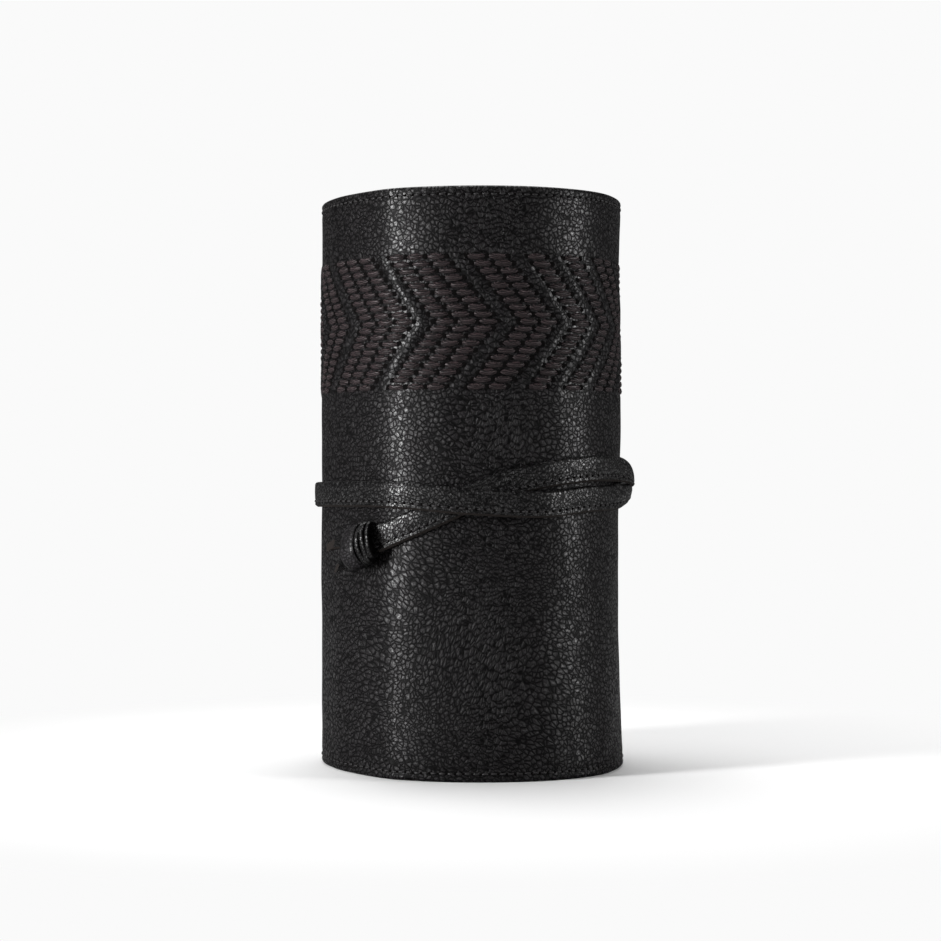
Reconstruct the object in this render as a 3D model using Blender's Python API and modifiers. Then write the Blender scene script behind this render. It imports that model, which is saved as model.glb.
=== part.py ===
"""A leather grooming roll, closed, tied round its middle and standing on one end.

The roll is one long lined panel, rolled clockwise as seen from above, from the flap's free end at the back
in to the core. Each length of it between two fold lines is modelled flat and then bent to its place. In
flat coordinates x runs along the leather from the flap's free end, y points out from the leather's outer
face, and z is up. Rolled coordinates have the roll's upright axis as their Z axis. The finished roll stands
on the XY plane with the middle of its outline at the origin, and its front faces -Y.
"""
import math
from collections import namedtuple

import bmesh
import bpy
from mathutils import Matrix, Vector

MM = 0.001
FULL_TURN = 2 * math.pi
UP = Vector((0, 0, 1))

# The rolled panel
ROLL_HEIGHT = 205 * MM
ROLL_RADIUS = 55 * MM
PANEL_WIDTH = 46 * MM
PANEL_COUNT = 12
ROOT_PANEL = 6
FIRST_POCKET_PANEL = 5
PANELS_TO_FRONT_FOLD = 4
FRONT_FOLD_ANGLE = math.radians(-100)
TIGHTEN_LEAD = math.radians(60)
LOOSEST_SHARE = 0.97
STEP_SHARE = 0.005
TURN_CLEARANCE = 0.5 * MM
FACETS = 6
FOLD_GAP = 0.3 * MM
LAYER_GAP = 0.3 * MM

# The leather, its turned edges and the lining caught in them
LEATHER = 1.2 * MM
HEM_LEATHER = 0.8 * MM
HEM = 8 * MM
LINING = 0.8 * MM

# The pockets on the lining
POCKET_LEATHER = 0.8 * MM
POCKET_DEPTH = 7 * MM
POCKET_BELOW_TOP = 80 * MM
POCKET_SEAM = 3 * MM
POCKET_SLOPE = 5 * MM
POCKET_FOOT = 10 * MM
POCKET_INSET = 1 * MM

# The embroidered band of chevrons
BAND_BELOW_TOP = 23 * MM
BAND_HEIGHT = 48 * MM
BAND_RISE = 0.4 * MM
BARE_STRIPE = 6.6 * MM
FIRST_CHEVRON = 2.3 * MM
CHEVRON_STEPS = (22.5 * MM, 29.9 * MM, 29.8 * MM, 22.5 * MM, 15.9 * MM, 15.6 * MM)
CHEVRON_SLOPE_SHARE = 0.85

# The tie
TIE_WIDTH = 9 * MM
TIE_LEATHER = 2.4 * MM
TIE_CLEARANCE = 0.4 * MM
TIE_BELOW_BAND = 35.7 * MM
SEWN_END = 12 * MM
BACK_LINKS = 3
TIE_FOLDS = (206, 246, 297, 334)
TIE_FACET = 8
CROSSING_RAMP = 10
BIGHT_RAMP = (336, 346)
BIGHT_ANGLE = 364
BIGHT_FACETS = 6
# Angle about the roll, and height over the tie's own level as a share of its width
LEADING_SHARES = (
    (70, 0), (110, 0), (180, 0), (215, 0.05), (243, 0.045), (270, -0.2), (295, -0.31), (317, -0.13),
    (334, -0.08), (345, -0.045), (356, 0), (364, 0.19), (372, 0.4),
)
RETURNING_SHARES = (
    (206, -2.6), (222, -2.22), (230, -1.95), (238, -1.55), (254.6, -0.8), (277, 0.26), (295, 0.78),
    (317, 1.045), (334, 1.055), (345, 1.01), (356, 0.87), (364, 0.68), (372, 0.5),
)

# The knot at the end of the tie
KNOT_ANGLE = 230
KNOT_LENGTH = 14 * MM
KNOT_WIDTH = 17 * MM
KNOT_DEPTH = 10 * MM
KNOT_RAMP = (232, 240)
KNOT_RINGS = 7
KNOT_SIDES = 10
TAIL_LEATHER = 1.8 * MM
TAIL_ROOT_WIDTH = 7 * MM
TAIL_TIP_WIDTH = 2.5 * MM
# Root and tip of each tail: angle, and height over the tie's level as a share of its width
TAIL_SHARES = (((226, -1.85), (213, -1.8)), ((226, -2.2), (214.5, -2.75)))

Arc = namedtuple("Arc", "centre radius start")
Station = namedtuple("Station", "centre across outward")

# Depths in from the leather's outer face
LINING_FACE = LEATHER + LAYER_GAP
LINED = LINING_FACE + LINING
HEM_FACE = LINED + LAYER_GAP
HEMMED = HEM_FACE + HEM_LEATHER
POCKETED = LINED + POCKET_DEPTH + POCKET_LEATHER

BAND_TOP = ROLL_HEIGHT - BAND_BELOW_TOP
BAND_BOTTOM = BAND_TOP - BAND_HEIGHT
BAND_MIDDLE = (BAND_TOP + BAND_BOTTOM) / 2
TIE_HEIGHT = BAND_BOTTOM - TIE_BELOW_BAND
TIE_RADIUS = ROLL_RADIUS + TIE_CLEARANCE + TIE_LEATHER / 2
TIE_LIFT = TIE_LEATHER + LAYER_GAP
# The tie stands proud at the front and at the right, so the roll's axis lies back and left of the middle
ROLL_AXIS = Vector((-TIE_LIFT / 2, TIE_LIFT / 2, 0))


def ease(value):
    """Turn a climb from 0 to 1 into one that starts and ends gently."""
    value = min(max(value, 0), 1)
    return value * value * (3 - 2 * value)


def polar(radius, angle, height=0):
    return Vector((radius * math.cos(angle), radius * math.sin(angle), height))


def clear_scene():
    for item in list(bpy.data.objects):
        bpy.data.objects.remove(item, do_unlink=True)


def make_finish(name, color, roughness):
    finish = bpy.data.materials.new(name)
    finish.use_nodes = True
    shader = finish.node_tree.nodes["Principled BSDF"]
    shader.inputs["Base Color"].default_value = (*color, 1)
    shader.inputs["Roughness"].default_value = roughness
    shader.inputs["Metallic"].default_value = 0
    finish.diffuse_color = (*color, 1)
    return finish


# The roll seen from above

def panel_depth(panel):
    """How far in from its outer face a panel reaches, with its turned edges or its pocket."""
    return max(HEMMED, POCKETED) if panel + 1 >= FIRST_POCKET_PANEL else HEMMED


def lay_out(tighten_share):
    """The arc of each panel: round the roll at full radius, then each tighter than the last by one share."""
    turn = PANEL_WIDTH / ROLL_RADIUS
    flap_end = FRONT_FOLD_ANGLE + PANELS_TO_FRONT_FOLD * turn
    centre, radius, angle = Vector((0, 0, 0)), ROLL_RADIUS, flap_end
    arcs = []
    for _ in range(PANEL_COUNT):
        if angle - turn < flap_end - FULL_TURN + TIGHTEN_LEAD:
            join = centre + polar(radius, angle)
            radius *= tighten_share
            centre = join - polar(radius, angle)
        arcs.append(Arc(centre, radius, angle))
        angle -= PANEL_WIDTH / radius
    return arcs


def room_between_turns(arcs):
    """The least space between a panel's inside and the next turn in, measured towards the roll's axis."""
    line = []
    for panel, arc in enumerate(arcs):
        for facet in range(FACETS + 1):
            angle = arc.start - PANEL_WIDTH / arc.radius * facet / FACETS
            spot = arc.centre + polar(arc.radius, angle)
            drift = (math.atan2(spot.y, spot.x) - angle + math.pi) % FULL_TURN - math.pi
            line.append((angle + drift, spot.length, panel_depth(panel)))
    least = ROLL_RADIUS
    for angle, distance, _ in line:
        for (high, outer, depth), (low, inner, _) in zip(line, line[1:]):
            if low <= angle + FULL_TURN <= high and high > low:
                share = (high - angle - FULL_TURN) / (high - low)
                least = min(least, outer + (inner - outer) * share - depth - distance)
    return least


def rolled_arcs():
    share = LOOSEST_SHARE
    while room_between_turns(lay_out(share)) < TURN_CLEARANCE:
        share -= STEP_SHARE
    return lay_out(share)


ARCS = rolled_arcs()
FLAP_END = ARCS[0].start


def roll_up(panel, spot):
    """Bend a flat point of one panel to its place in the roll."""
    arc = ARCS[panel]
    angle = arc.start - (spot.x - panel * PANEL_WIDTH) / arc.radius
    return arc.centre + polar(arc.radius + spot.y, angle, spot.z)


def panel_name(kind, panel):
    return f"{kind}_{panel + 1:02d}"


def panel_turn(panel):
    return PANEL_WIDTH / ARCS[panel].radius


# Flat blanks and how they are bent

def outline_blank(points, start, length):
    """A flat outline in y and z, drawn out along x as one solid."""
    curve = bpy.data.curves.new("outline", "CURVE")
    curve.dimensions = "2D"
    curve.fill_mode = "BOTH"
    curve.extrude = length / 2
    spline = curve.splines.new("POLY")
    spline.points.add(len(points) - 1)
    for knot, (across, up) in zip(spline.points, points):
        knot.co = (across, up, 0, 1)
    spline.use_cyclic_u = True
    holder = bpy.data.objects.new("outline", curve)
    bpy.context.scene.collection.objects.link(holder)
    bpy.context.view_layer.update()
    data = bpy.data.meshes.new_from_object(holder.evaluated_get(bpy.context.evaluated_depsgraph_get()))
    mesh = bmesh.new()
    mesh.from_mesh(data)
    bpy.data.objects.remove(holder, do_unlink=True)
    bmesh.ops.remove_doubles(mesh, verts=mesh.verts, dist=LAYER_GAP / 100)
    for vert in mesh.verts:
        vert.co = Vector((vert.co.z + length / 2 + start, vert.co.x, vert.co.y))
    bmesh.ops.recalc_face_normals(mesh, faces=mesh.faces)
    return mesh


def cut(mesh, faces, point, normal):
    edges = {edge for face in faces for edge in face.edges}
    verts = {vert for face in faces for vert in face.verts}
    bmesh.ops.bisect_plane(
        mesh, geom=[*verts, *edges, *faces], dist=LAYER_GAP / 1000, plane_co=point, plane_no=normal
    )


def cut_facets(mesh, panel):
    for facet in range(1, FACETS):
        line = PANEL_WIDTH * (panel + facet / FACETS)
        cut(mesh, mesh.faces[:], Vector((line, 0, 0)), Vector((1, 0, 0)))


def bend(mesh, panel):
    for vert in mesh.verts:
        vert.co = roll_up(panel, vert.co)


def face_outwards(mesh):
    """Point a closed solid's faces out, also those of one that is folded on itself."""
    bmesh.ops.recalc_face_normals(mesh, faces=mesh.faces)
    if mesh.calc_volume(signed=True) < 0:
        bmesh.ops.reverse_faces(mesh, faces=mesh.faces)


def add_piece(name, mesh, finish, body):
    """Turn a closed solid in rolled coordinates into a named piece whose origin is its body's pivot."""
    face_outwards(mesh)
    return add_surface(name, mesh, finish, body)


def add_surface(name, mesh, finish, body):
    data = bpy.data.meshes.new(name)
    mesh.to_mesh(data)
    mesh.free()
    data.materials.append(finish)
    data.transform(Matrix.Translation(-PIVOTS[body.name]))
    piece = bpy.data.objects.new(name, data)
    PARTS.objects.link(piece)
    piece.parent = body
    return piece


# The outer leather, with its turned edges and embroidered band

def chevron_edges():
    """Where each bare chevron's two edges meet the band's middle line."""
    apex, step = FIRST_CHEVRON, 0
    while apex < PANEL_COUNT * PANEL_WIDTH:
        yield apex - BARE_STRIPE / 2, apex + BARE_STRIPE / 2
        apex += CHEVRON_STEPS[step % len(CHEVRON_STEPS)]
        step += 1


def is_stitched(spot):
    lean = abs(spot.z - BAND_MIDDLE) * CHEVRON_SLOPE_SHARE
    return not any(low < spot.x - lean < high for low, high in chevron_edges())


def is_in_sight(panel):
    """Whether a panel is in the outer turn, clear of the flap's free end."""
    return ARCS[panel].start - panel_turn(panel) > FLAP_END - FULL_TURN


def outer_faces(mesh, low, high):
    return [
        face for face in mesh.faces
        if face.normal.y > 0.5 and low < face.calc_center_median().z < high
    ]


def raise_chevrons(mesh, panel):
    """Cut the chevrons' edges into the band on the outer face, and raise what is stitched."""
    for level in (BAND_BOTTOM, BAND_MIDDLE, BAND_TOP):
        cut(mesh, outer_faces(mesh, 0, ROLL_HEIGHT), Vector((0, 0, level)), UP)
    halves = ((BAND_MIDDLE, BAND_TOP, 1), (BAND_BOTTOM, BAND_MIDDLE, -1))
    reach = BAND_HEIGHT / 2 * CHEVRON_SLOPE_SHARE
    for line in (edge for pair in chevron_edges() for edge in pair):
        if panel * PANEL_WIDTH - reach < line < (panel + 1) * PANEL_WIDTH:
            for low, high, side in halves:
                slant = Vector((1, 0, -side * CHEVRON_SLOPE_SHARE))
                cut(mesh, outer_faces(mesh, low, high), Vector((line, 0, BAND_MIDDLE)), slant)
    stitched = [
        face for face in outer_faces(mesh, BAND_BOTTOM, BAND_TOP) if is_stitched(face.calc_center_median())
    ]
    raised = bmesh.ops.extrude_face_region(mesh, geom=stitched)["geom"]
    verts = [item for item in raised if isinstance(item, bmesh.types.BMVert)]
    bmesh.ops.delete(mesh, geom=stitched, context="FACES")
    bmesh.ops.translate(mesh, verts=verts, vec=Vector((0, BAND_RISE, 0)))


def add_outer_panel(panel, finish, body):
    top = ROLL_HEIGHT
    outline = (
        (0, 0), (0, top), (-HEMMED, top), (-HEMMED, top - HEM), (-HEM_FACE, top - HEM),
        (-HEM_FACE, top - LEATHER), (-LEATHER, top - LEATHER), (-LEATHER, LEATHER), (-HEM_FACE, LEATHER),
        (-HEM_FACE, HEM), (-HEMMED, HEM), (-HEMMED, 0),
    )
    mesh = outline_blank(outline, panel * PANEL_WIDTH + FOLD_GAP / 2, PANEL_WIDTH - FOLD_GAP)
    cut_facets(mesh, panel)
    if is_in_sight(panel):
        raise_chevrons(mesh, panel)
    bend(mesh, panel)
    add_piece(panel_name("outer_panel", panel), mesh, finish, body)


# The lining and the pockets on it

def add_lining(panel, finish, body):
    foot = LEATHER + LAYER_GAP
    outline = (
        (-LINING_FACE, foot), (-LINING_FACE, ROLL_HEIGHT - foot), (-LINED, ROLL_HEIGHT - foot), (-LINED, foot)
    )
    mesh = outline_blank(outline, panel * PANEL_WIDTH + FOLD_GAP / 2, PANEL_WIDTH - FOLD_GAP)
    cut_facets(mesh, panel)
    bend(mesh, panel)
    add_piece(panel_name("lining", panel), mesh, finish, body)


def add_pocket(panel, finish, body):
    """A bellows pocket, sewn to the lining down its sides and along its foot, and open at its mouth."""
    left = panel * PANEL_WIDTH + POCKET_INSET
    right = (panel + 1) * PANEL_WIDTH - POCKET_INSET
    foot, mouth = HEM + LAYER_GAP, ROLL_HEIGHT - POCKET_BELOW_TOP
    middle_lines = [PANEL_WIDTH * (panel + facet / FACETS) for facet in range(2, FACETS - 1)]
    seam_end = POCKET_SEAM + POCKET_SLOPE
    columns = [
        left, left + POCKET_SEAM, left + seam_end, *middle_lines, right - seam_end, right - POCKET_SEAM, right
    ]
    rows = [foot, foot + POCKET_SEAM, foot + POCKET_SEAM + POCKET_FOOT, mouth]
    mesh = bmesh.new()
    bmesh.ops.create_grid(mesh, x_segments=len(columns) - 1, y_segments=len(rows) - 1, size=1)
    for vert in mesh.verts:
        column = round((vert.co.x + 1) / 2 * (len(columns) - 1))
        row = round((vert.co.y + 1) / 2 * (len(rows) - 1))
        full = row > 1 and 1 < column < len(columns) - 2
        out = -HEM_FACE - (POCKET_DEPTH - LAYER_GAP if full else 0)
        vert.co = roll_up(panel, Vector((columns[column], out, rows[row])))
    bmesh.ops.recalc_face_normals(mesh, faces=mesh.faces)
    towards_axis = mesh.faces[0].calc_center_median() - ARCS[panel].centre
    towards_axis.z = 0
    if mesh.faces[0].normal.dot(towards_axis) < 0:
        bmesh.ops.reverse_faces(mesh, faces=mesh.faces)
    pocket = add_surface(panel_name("pocket", panel), mesh, finish, body)
    shell = pocket.modifiers.new("leather", "SOLIDIFY")
    shell.thickness = POCKET_LEATHER
    shell.offset = -1
    shell.use_even_offset = True


# The tie

def route_height(shares, degrees):
    """The height of a strand's middle at an angle, on a smooth curve through the route's points."""
    last = len(shares) - 1
    piece = max(index for index in range(last) if index == 0 or shares[index][0] <= degrees)
    (low, start), (high, end) = shares[piece], shares[piece + 1]
    before, after = shares[max(piece - 1, 0)], shares[min(piece + 2, last)]
    span = high - low
    leave = (end - before[1]) / (high - before[0]) * span
    arrive = (after[1] - start) / (after[0] - low) * span
    at = (degrees - low) / span
    rest = 1 - at
    share = (
        start * (1 + 2 * at) * rest * rest + leave * at * rest * rest
        + end * (3 - 2 * at) * at * at - arrive * at * at * rest
    )
    return TIE_HEIGHT + TIE_WIDTH * share


def strand_station(shares, degrees, lift):
    """The section of a strand at an angle: its edges stay upright, so that its ends meet fold lines."""
    step = 1
    climb = route_height(shares, degrees + step) - route_height(shares, degrees - step)
    run = 2 * math.radians(step) * TIE_RADIUS
    angle = math.radians(degrees)
    centre = polar(TIE_RADIUS + lift, angle, route_height(shares, degrees))
    across = UP * (TIE_WIDTH / 2 * math.hypot(climb, run) / run)
    return Station(centre, across, polar(TIE_LEATHER / 2, angle))


def crossing_angles():
    """The first and last whole degrees at which the leading strand lies over the returning one."""
    crossed = []
    for degrees in range(KNOT_ANGLE, TIE_FOLDS[-1]):
        leading = strand_station(LEADING_SHARES, degrees, 0)
        returning = strand_station(RETURNING_SHARES, degrees, 0)
        apart = abs(leading.centre.z - returning.centre.z)
        if apart < leading.across.z + returning.across.z + LAYER_GAP:
            crossed.append(degrees)
    return crossed[0] - 1, crossed[-1] + 1


CROSSING = crossing_angles()


def leading_station(degrees):
    first, last = CROSSING
    onto = ease((degrees - first + CROSSING_RAMP) / CROSSING_RAMP)
    off = ease((last + CROSSING_RAMP - degrees) / CROSSING_RAMP)
    return strand_station(LEADING_SHARES, degrees, TIE_LIFT * onto * off)


def returning_station(degrees):
    onto_lead = ease((degrees - BIGHT_RAMP[0]) / (BIGHT_RAMP[1] - BIGHT_RAMP[0])) * TIE_LIFT
    into_knot = ease((KNOT_RAMP[1] - degrees) / (KNOT_RAMP[1] - KNOT_RAMP[0])) * KNOT_DEPTH / 4
    return strand_station(RETURNING_SHARES, degrees, onto_lead + into_knot)


def spaced(start, end):
    """Angles from start to end, as even steps of about one facet."""
    steps = max(1, math.ceil(abs(end - start) / TIE_FACET))
    return [start + (end - start) * step / steps for step in range(steps + 1)]


def strap(stations):
    """A strap through its stations, from a box with a cut at each of them."""
    mesh = bmesh.new()
    bmesh.ops.create_cube(mesh, size=1)
    last = len(stations) - 1
    for vert in mesh.verts:
        vert.co.x = (vert.co.x + 1 / 2) * last
    for station in range(1, last):
        cut(mesh, mesh.faces[:], Vector((station, 0, 0)), Vector((1, 0, 0)))
    for vert in mesh.verts:
        station = stations[round(vert.co.x)]
        out, up = 2 * vert.co.y, 2 * vert.co.z
        vert.co = station.centre + station.outward * out + station.across * up
    return mesh


def bight_stations(start):
    """Along the leading strand, round an upright bend and back along the returning strand on top of it."""
    leading = [leading_station(degrees) for degrees in spaced(start, BIGHT_ANGLE)]
    returning = [returning_station(degrees) for degrees in spaced(BIGHT_ANGLE, start)]
    radius = TIE_LIFT / 2
    angle = math.radians(BIGHT_ANGLE)
    out, along = polar(1, angle), polar(1, angle + math.pi / 2)
    bend_line = leading[-1].centre + out * radius
    low, high = leading[-1], returning[0]
    bent = []
    for facet in range(1, BIGHT_FACETS):
        turn = math.pi * facet / BIGHT_FACETS
        share = facet / BIGHT_FACETS
        inward = out * math.cos(turn) - along * math.sin(turn)
        centre = bend_line - inward * radius
        centre.z = low.centre.z + (high.centre.z - low.centre.z) * share
        bent.append(Station(centre, low.across.lerp(high.across, share), inward * (TIE_LEATHER / 2)))
    turned_back = [Station(item.centre, item.across, -item.outward) for item in returning]
    return leading + bent + turned_back


def fold_margin():
    return math.degrees(FOLD_GAP / 2 / TIE_RADIUS)


def tie_folds():
    """The angle of each fold in the leading strand, from the flap's free end on."""
    start = math.degrees(FLAP_END)
    step = (TIE_FOLDS[0] - start) / BACK_LINKS
    return [start + step * link for link in range(BACK_LINKS)] + list(TIE_FOLDS)


def knot_axes():
    angle = math.radians(KNOT_ANGLE)
    climb = route_height(RETURNING_SHARES, KNOT_ANGLE + 1) - route_height(RETURNING_SHARES, KNOT_ANGLE - 1)
    along = polar(2 * math.radians(1) * TIE_RADIUS, angle + math.pi / 2, climb).normalized()
    out = polar(1, angle)
    return along, out, out.cross(along)


def knot_solid():
    """The knot: a rounded bead, longest across the strap."""
    mesh = bmesh.new()
    bmesh.ops.create_uvsphere(mesh, u_segments=KNOT_SIDES, v_segments=KNOT_RINGS, radius=1 / 2)
    along, out, across = knot_axes()
    centre = polar(
        ROLL_RADIUS + TIE_CLEARANCE + KNOT_DEPTH / 2,
        math.radians(KNOT_ANGLE),
        route_height(RETURNING_SHARES, KNOT_ANGLE),
    )
    for vert in mesh.verts:
        x, y, z = vert.co
        vert.co = centre + along * x * KNOT_LENGTH + out * y * KNOT_DEPTH + across * z * KNOT_WIDTH
    return mesh


def tail_solid(root, tip):
    stations = []
    for (degrees, share), width in ((root, TAIL_ROOT_WIDTH), (tip, TAIL_TIP_WIDTH)):
        angle = math.radians(degrees)
        radius = ROLL_RADIUS + TIE_CLEARANCE + KNOT_DEPTH / 2
        centre = polar(radius, angle, TIE_HEIGHT + TIE_WIDTH * share)
        stations.append(Station(centre, UP * width / 2, polar(TAIL_LEATHER / 2, angle)))
    return strap(stations)


def join_solids(piece, solids, finish):
    for mesh in solids:
        face_outwards(mesh)
        data = bpy.data.meshes.new("joined")
        mesh.to_mesh(data)
        mesh.free()
        data.materials.append(finish)
        tool = bpy.data.objects.new("joined", data)
        tool.location = ROLL_AXIS
        tool.hide_render = True
        tool.display_type = "WIRE"
        CUTTERS.objects.link(tool)
        union = piece.modifiers.new("joined", "BOOLEAN")
        union.operation = "UNION"
        union.object = tool


def add_tie(finish, bodies):
    folds, margin = tie_folds(), fold_margin()
    sewn_start = folds[0] - math.degrees(SEWN_END / TIE_RADIUS)
    sewn = [leading_station(degrees) for degrees in spaced(sewn_start, folds[0] - margin)]
    add_piece("tie_end", strap(sewn), finish, bodies[panel_name("panel", 0)])
    for link, (start, end) in enumerate(zip(folds, folds[1:]), 1):
        body = bodies[f"tie_{link}"]
        stations = [leading_station(degrees) for degrees in spaced(start + margin, end - margin)]
        add_piece(f"tie_lead_{link}", strap(stations), finish, body)
    for number, fold in ((1, folds[-2]), (2, folds[-3])):
        end = folds[folds.index(fold) + 1]
        stations = [returning_station(degrees) for degrees in spaced(fold + margin, end - margin)]
        body = bodies[f"tie_{folds.index(fold) + 1}"]
        add_piece(f"tie_return_{number}", strap(stations), finish, body)
    add_piece("tie_bight", strap(bight_stations(folds[-1] + margin)), finish, bodies[f"tie_{len(folds)}"])
    knotted = [returning_station(degrees) for degrees in spaced(KNOT_ANGLE, folds[-3] - margin)]
    piece = add_piece("tie_knotted_end", strap(knotted), finish, bodies[f"tie_{len(folds) - 3}"])
    join_solids(piece, [knot_solid(), *(tail_solid(root, tip) for root, tip in TAIL_SHARES)], finish)


# The bodies that move and the pivots that they turn on

def body_pivots():
    """Each body's parent and the point of the upright fold line between them, on the outer face."""
    pivots = {panel_name("panel", ROOT_PANEL - 1): (None, Vector((0, 0, 0)))}
    for panel in range(ROOT_PANEL - 2, -1, -1):
        line = roll_up(panel, Vector(((panel + 1) * PANEL_WIDTH, BAND_RISE, 0)))
        pivots[panel_name("panel", panel)] = (panel_name("panel", panel + 1), line)
    for panel in range(ROOT_PANEL, PANEL_COUNT):
        line = roll_up(panel, Vector((panel * PANEL_WIDTH, BAND_RISE, 0)))
        pivots[panel_name("panel", panel)] = (panel_name("panel", panel - 1), line)
    parent = panel_name("panel", 0)
    for link, fold in enumerate(tie_folds(), 1):
        section = leading_station(fold)
        line = section.centre + section.outward
        pivots[f"tie_{link}"] = (parent, Vector((line.x, line.y, 0)))
        parent = f"tie_{link}"
    return pivots


def add_bodies():
    bodies = {}
    for name, (parent, _) in BODY_PIVOTS.items():
        body = bpy.data.objects.new(name, None)
        PARTS.objects.link(body)
        body.location = PIVOTS[name] - PIVOTS[parent] if parent else ROLL_AXIS
        body.parent = bodies[parent] if parent else None
        bodies[name] = body
    return bodies


def add_collection(name):
    collection = bpy.data.collections.new(name)
    bpy.context.scene.collection.children.link(collection)
    return collection


clear_scene()
PARTS = add_collection("grooming_roll")
CUTTERS = add_collection("cutters")
BODY_PIVOTS = body_pivots()
PIVOTS = {name: line for name, (_, line) in BODY_PIVOTS.items()}


def build_roll():
    leather = make_finish("black_leather", (0.016, 0.015, 0.017), 0.45)
    lining = make_finish("lining_leather", (0.03, 0.027, 0.026), 0.7)
    strap_leather = make_finish("tie_leather", (0.018, 0.017, 0.019), 0.5)
    bodies = add_bodies()
    for panel in range(PANEL_COUNT):
        body = bodies[panel_name("panel", panel)]
        add_outer_panel(panel, leather, body)
        add_lining(panel, lining, body)
        if panel + 1 >= FIRST_POCKET_PANEL:
            add_pocket(panel, lining, body)
    add_tie(strap_leather, bodies)


build_roll()
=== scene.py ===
"""The looks of a grooming roll: black pebbled leather, chevron embroidery and a knotted leather tie.

The outer leather, its lining and the tie are each one long strip. Each strip is cut into lengths half way
between its fold lines. In flat coordinates x runs along the leather from the flap's free end, y points out
from its outer face, and z is up.
"""
import math
import random
from collections import namedtuple

import bmesh
import bpy
from mathutils import Matrix, Vector


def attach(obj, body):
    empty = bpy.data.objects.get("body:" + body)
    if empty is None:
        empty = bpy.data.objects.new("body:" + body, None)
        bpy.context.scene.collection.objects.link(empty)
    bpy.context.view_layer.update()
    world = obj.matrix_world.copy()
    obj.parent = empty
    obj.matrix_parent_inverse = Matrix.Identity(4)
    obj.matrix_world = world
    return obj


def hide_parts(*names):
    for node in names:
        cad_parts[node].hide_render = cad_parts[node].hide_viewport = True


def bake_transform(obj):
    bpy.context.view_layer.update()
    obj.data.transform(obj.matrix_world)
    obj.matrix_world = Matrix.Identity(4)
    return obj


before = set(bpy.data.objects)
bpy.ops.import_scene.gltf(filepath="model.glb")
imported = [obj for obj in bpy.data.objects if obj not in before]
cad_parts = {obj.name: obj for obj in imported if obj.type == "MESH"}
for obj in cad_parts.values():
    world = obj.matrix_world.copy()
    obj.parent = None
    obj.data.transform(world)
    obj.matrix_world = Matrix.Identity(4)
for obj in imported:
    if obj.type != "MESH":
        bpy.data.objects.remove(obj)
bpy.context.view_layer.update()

MM = 0.001
UP = Vector((0, 0, 1))
SAME_PLACE = 0.01 * MM

# The roll, with the same measures as its CAD solids
ROLL_HEIGHT = 205 * MM
ROLL_RADIUS = 55 * MM
ROLL_AXIS = Vector((-1.35, 1.35, 0)) * MM
PANEL_WIDTH = 46 * MM
PANEL_COUNT = 12
SHEET_LENGTH = PANEL_COUNT * PANEL_WIDTH
FIRST_POCKET_PANEL = 5
FRONT_FOLD_ANGLE = math.radians(-100)
PANELS_TO_FRONT_FOLD = 4
TIGHTEN_LEAD = math.radians(60)
TIGHTEN_SHARE = 0.915
LEATHER = 1.2 * MM
HEM_LEATHER = 0.8 * MM
HEM = 8 * MM
LINING = 0.8 * MM
LAYER_GAP = 0.3 * MM
LINING_FACE = LEATHER + LAYER_GAP
LINED = LINING_FACE + LINING
HEM_FACE = LINED + LAYER_GAP
HEMMED = HEM_FACE + HEM_LEATHER
EDGE_ROUNDING = 1.4 * MM
LEATHER_STEP = 1.3 * MM
LINING_STEP = 2 * MM
LINING_STEP_UP = 5 * MM

# How many mm the roll's wall stands nearer the viewer than an even circle, by degrees from front to right
FRONT_PUSH = (
    (-180, 0), (-130, -1.2), (-90, -2.6), (-69, -2.6), (-57, -0.9), (-49, 0.1), (-42, 1.6), (-37, 3.0),
    (-31, 4.2), (-26, 4.4), (-16, 4.5), (-8, 4.8), (0, 5.1), (9, 5.7), (18, 6.5), (27, 7.3), (39, 8.1),
    (51, 9.1), (60, 9.2), (72, 7.7), (90, 5), (125, 2), (180, 0),
)
STEADY_CORE = 20 * MM

# The embroidered band: rows of satin stitches between bare chevrons
ROWS = 19
ROW_PITCH = 2.486 * MM
BAND_MIDDLE = 158.3 * MM
BARE_STRIPE = 6.9 * MM
FIRST_CHEVRON = 2.3 * MM
CHEVRONS_PAST_END = 40 * MM
CHEVRON_STEPS = (22.5 * MM, 29.9 * MM, 29.8 * MM, 22.5 * MM, 15.9 * MM, 15.6 * MM)
STITCH_WIDTH = 7.6 * MM
BARE_END = 5.5 * MM
SATIN_GAP = 0.7 * MM
SATIN_HEIGHT = 2.5 * MM
SATIN_RISE = 0.8 * MM
SATIN_PROUD = 0.02 * MM
NEEDLE_CUP = (2.3 * MM, 2.0 * MM, 0.14 * MM)
CUP_PROUD = 0.1 * MM
FRONT_LINE = 174.4 * MM
FRONT_LEAN = 0.81
LEAN_GROWTH = 1.9
LEAN_LIMITS = (0.72, 0.94)

# The tie, with its angles in degrees round the roll: 180 at the left, 270 at the front, 360 at the right
TIE_WIDTH = 9 * MM
TIE_LEATHER = 2.4 * MM
TIE_HEIGHT = 98.3 * MM
TIE_RADIUS = 56.6 * MM
TIE_SINK = 0.3 * MM
TIE_LIFT = 2.7 * MM
TIE_FOLDS = (91.675, 129.784, 167.892, 206, 246, 297, 334)
# Degrees before and after each fold line that give two points round the roll for each length of the strap
TIE_REACHES = ((1, 16), (14, 14), (14, 14), (14, 15), (12, 18), (18, 14), (14, 14))
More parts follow.
